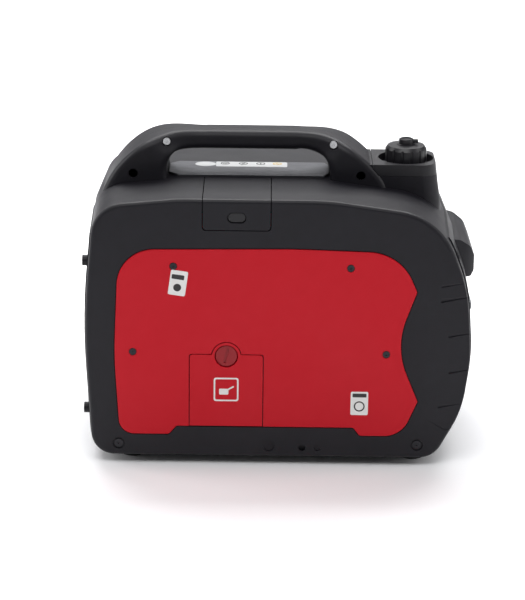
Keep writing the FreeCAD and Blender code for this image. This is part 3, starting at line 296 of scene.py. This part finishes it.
def round_corners(wide, high, radius, steps=6):
    """Outline of a rectangle with round corners, centred on nought."""
    points = []
    for cx, cy, first in ((1, 1, 0), (-1, 1, 90), (-1, -1, 180), (1, -1, 270)):
        for i in range(steps + 1):
            turn = math.radians(first + 90 * i / steps)
            points.append((cx * (wide / 2 - radius) + radius * math.cos(turn),
                           cy * (high / 2 - radius) + radius * math.sin(turn)))
    return points


def circle(radius, steps=40):
    return [(radius * math.cos(2 * math.pi * i / steps), radius * math.sin(2 * math.pi * i / steps))
            for i in range(steps)]


def label(name, body, material, face, centre, outline, lift=0.0, inner=None, tilt=0.0, thick=0.2):
    """A thin piece cut to an outline in mm, or a band between two outlines of equal length."""
    along_u, along_v, facing = face
    mesh = bpy.data.meshes.new(name)
    work = bmesh.new()
    cos_t, sin_t = math.cos(math.radians(tilt)), math.sin(math.radians(tilt))

    def ring(points, height):
        placed = []
        for u, v in points:
            flat = along_u * (u * cos_t - v * sin_t) + along_v * (u * sin_t + v * cos_t)
            placed.append(work.verts.new((Vector(centre) + flat + facing * height) * MM))
        return placed

    low, high = ring(outline, lift), ring(outline, lift + thick)
    count = len(outline)
    walls = [(low, high)]
    if inner:
        low_in, high_in = ring(inner, lift), ring(inner, lift + thick)
        walls += [(high_in, low_in), (high, high_in), (low_in, low)]
    else:
        work.faces.new(high)
        work.faces.new(low[::-1])
    for a, b in walls:
        for i in range(count):
            j = (i + 1) % count
            work.faces.new((a[i], a[j], b[j], b[i]))
    bmesh.ops.recalc_face_normals(work, faces=work.faces)
    work.to_mesh(mesh)
    work.free()
    obj = bpy.data.objects.new(name, mesh)
    bpy.context.scene.collection.objects.link(obj)
    dress(obj, material)
    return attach(obj, body)


# %% [markdown]
# The red side carries two stickers, one of them put on slightly crooked, and a framed sign on
# the oil door that moves with the door. The plate on top has a blank oval and four round signs.

# %% Labels on the near side
SIDE_Y = -145.0


def side_label(name, x, z, outline, material, body="housing", **more):
    return label(name, body, material, NEAR_FACE, (x, SIDE_Y, z), outline, **more)


side_label("sticker_rear", -129, 248, round_corners(22, 33, 2), vinyl_white, tilt=-8)
side_label("sticker_rear_bar", -129, 256, round_corners(16, 6, 1), ink_black, lift=0.2, tilt=-8)
side_label("sticker_rear_disc", -130, 242, circle(5), ink_black, lift=0.2)
side_label("sticker_front", 105, 88, round_corners(22.5, 32, 2), vinyl_white)
side_label("sticker_front_bar", 105, 99, round_corners(18, 5, 1), ink_black, lift=0.2)
side_label("sticker_front_ring", 105, 84, circle(7), ink_black, lift=0.2, inner=circle(5.4))
side_label("door_sign_frame", -67, 105, round_corners(32, 32, 3), vinyl_white, "oil_door",
           inner=round_corners(28, 28, 2))
side_label("door_sign_can", -70, 102, round_corners(12, 8, 1.5), vinyl_white, "oil_door")
side_label("door_sign_spout", -61, 107, round_corners(9, 2, 0.8), vinyl_white, "oil_door", tilt=30)

# %% Labels on the top plate
PLATE_TOP = 361.8


def plate_label(name, x, y, outline, material, **more):
    return label(name, "housing", material, TOP_FACE, (x, y, PLATE_TOP), outline, **more)


plate_label("plate_oval", -98.8, 18.5, [(u * 13.7, v * 11.5) for u, v in circle(1)], vinyl_grey)
plate_label("plate_strip", -38, 18.5, round_corners(94, 25, 3), vinyl_grey)
for number, sign_x in enumerate((-73, -49, -26, -4)):
    sign_ink = ink_yellow if number == 3 else ink_black
    plate_label(f"plate_sign_{number}", sign_x, 22.5, circle(6), sign_ink, lift=0.2, inner=circle(4.7))
    plate_label(f"plate_sign_bar_{number}", sign_x, 22.5, round_corners(6, 1.6, 0.7), sign_ink, lift=0.2,
                tilt=45 * number)

# %% [markdown]
# ## Markings on the socket panel
# A band round each socket, tick marks for the switch, and bars beside the ports.

# %% Socket panel markings
PANEL_X, TICK_CIRCLE = 231.0, 26.0
SWITCH_Y, SWITCH_Z = -72.0, 205.0


def panel_label(name, y, z, outline, **more):
    return label(name, "housing", vinyl_white, END_FACE, (PANEL_X, y, z), outline, thick=0.15, **more)


for number, socket_y in enumerate((-40, 34)):
    panel_label(f"socket_band_{number}", socket_y, 138, circle(29.5), inner=circle(28.5))
for number, angle in enumerate((100, 60, 20)):
    turn = math.radians(angle)
    panel_label(f"switch_tick_{number}", SWITCH_Y + TICK_CIRCLE * math.cos(turn),
                SWITCH_Z + TICK_CIRCLE * math.sin(turn), round_corners(5, 1.2, 0.5), tilt=angle)
for number, port_y in enumerate((12, 40)):
    panel_label(f"port_bar_{number}", port_y, 197, round_corners(12, 1.4, 0.6))

# %% [markdown]
# ## Pull rope
# A short length of the starter rope shows behind the grip. It is a straight tube of many rings.

# %% Rope between housing and grip
ROPE_X, ROPE_Z, ROPE_RADIUS = 77.0, 205.0, 2.0
ROPE_RINGS, ROPE_SIDES = 48, 16
ROPE_FIRST_Y, ROPE_LENGTH = 112.0, 8.0


def pull_rope():
    mesh = bpy.data.meshes.new("pull_rope")
    work = bmesh.new()
    rings = []
    for i in range(ROPE_RINGS):
        y = ROPE_FIRST_Y + ROPE_LENGTH * i / (ROPE_RINGS - 1)
        rings.append([work.verts.new(Vector((ROPE_X + u, y, ROPE_Z + v)) * MM)
                      for u, v in circle(ROPE_RADIUS, ROPE_SIDES)])
    for a, b in zip(rings, rings[1:]):
        for i in range(ROPE_SIDES):
            j = (i + 1) % ROPE_SIDES
            work.faces.new((a[i], a[j], b[j], b[i])).smooth = True
    work.faces.new(rings[0])
    work.faces.new(rings[-1][::-1])
    bmesh.ops.recalc_face_normals(work, faces=work.faces)
    work.to_mesh(mesh)
    work.free()
    obj = bpy.data.objects.new("pull_rope", mesh)
    bpy.context.scene.collection.objects.link(obj)
    dress(obj, rope_nylon)
    return obj


rope = pull_rope()
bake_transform(rope)

# %% [markdown]
# ## Studio
# A pale floor that curves up well behind the machine, far enough away to walk round it. One
# large softbox behind lays the grey sheen on the shoulders, one above lights the near side, one
# keeps the far floor white, and a narrow box stands at each side.

# %% Floor and backdrop
SWEEP_FRONT, SWEEP_BACK, SWEEP_HEIGHT, SWEEP_BEND, SWEEP_WIDTH = -9.0, 9.0, 4.0, 1.2, 20.0


def studio_sweep():
    mesh = bpy.data.meshes.new("studio_sweep")
    work = bmesh.new()
    profile = [(SWEEP_FRONT, 0.0), (SWEEP_BACK - SWEEP_BEND, 0.0)]
    for i in range(1, 13):
        angle = math.radians(90) * i / 12
        profile.append((SWEEP_BACK - SWEEP_BEND + SWEEP_BEND * math.sin(angle),
                        SWEEP_BEND - SWEEP_BEND * math.cos(angle)))
    profile.append((SWEEP_BACK, SWEEP_HEIGHT))
    rows = [[work.verts.new((x, y, z)) for y, z in profile] for x in (-SWEEP_WIDTH / 2, SWEEP_WIDTH / 2)]
    for i in range(len(profile) - 1):
        face = work.faces.new((rows[0][i], rows[1][i], rows[1][i + 1], rows[0][i + 1]))
        face.smooth = True
    work.to_mesh(mesh)
    work.free()
    obj = bpy.data.objects.new("studio_sweep", mesh)
    bpy.context.scene.collection.objects.link(obj)
    return obj


sweep_paint = new_material("matt_white_sweep")
sweep_shader = add(sweep_paint, "ShaderNodeBsdfPrincipled", Base_Color=linear("#f6f6f8"), Roughness=0.9)
finish_material(sweep_paint, sweep_shader)
sweep = studio_sweep()
dress(sweep, sweep_paint)

# %% Lights


def softbox(name, at, aim, size, watts):
    data = bpy.data.lights.new(name, "AREA")
    data.shape = "RECTANGLE"
    data.size, data.size_y = size
    data.energy = watts
    light = bpy.data.objects.new(name, data)
    light.location = at
    light.rotation_euler = (Vector(aim) - Vector(at)).to_track_quat("-Z", "Y").to_euler()
    bpy.context.scene.collection.objects.link(light)
    return light


softbox("key_softbox", (-0.3, -1.7, 2.7), (0, 0, 0.15), (2.4, 1.4), 46)
softbox("back_softbox", (0.0, 1.2, 2.6), (0, 1.4, 0.0), (3.0, 1.2), 88)
softbox("far_floor_softbox", (0.0, 3.6, 3.4), (0, 3.8, 0.0), (6.0, 3.0), 190)
softbox("left_strip", (-2.0, 0.3, 1.0), (0, 0, 0.2), (0.8, 1.6), 20)
softbox("right_strip", (2.0, -0.2, 1.1), (0, 0, 0.2), (0.8, 1.6), 14)
world = bpy.data.worlds.new("studio_air")
world.use_nodes = True
world.node_tree.nodes["Background"].inputs["Color"].default_value = linear("#ffffff")
world.node_tree.nodes["Background"].inputs["Strength"].default_value = 0.2
bpy.context.scene.world = world
bpy.context.scene.view_settings.view_transform = "Standard"
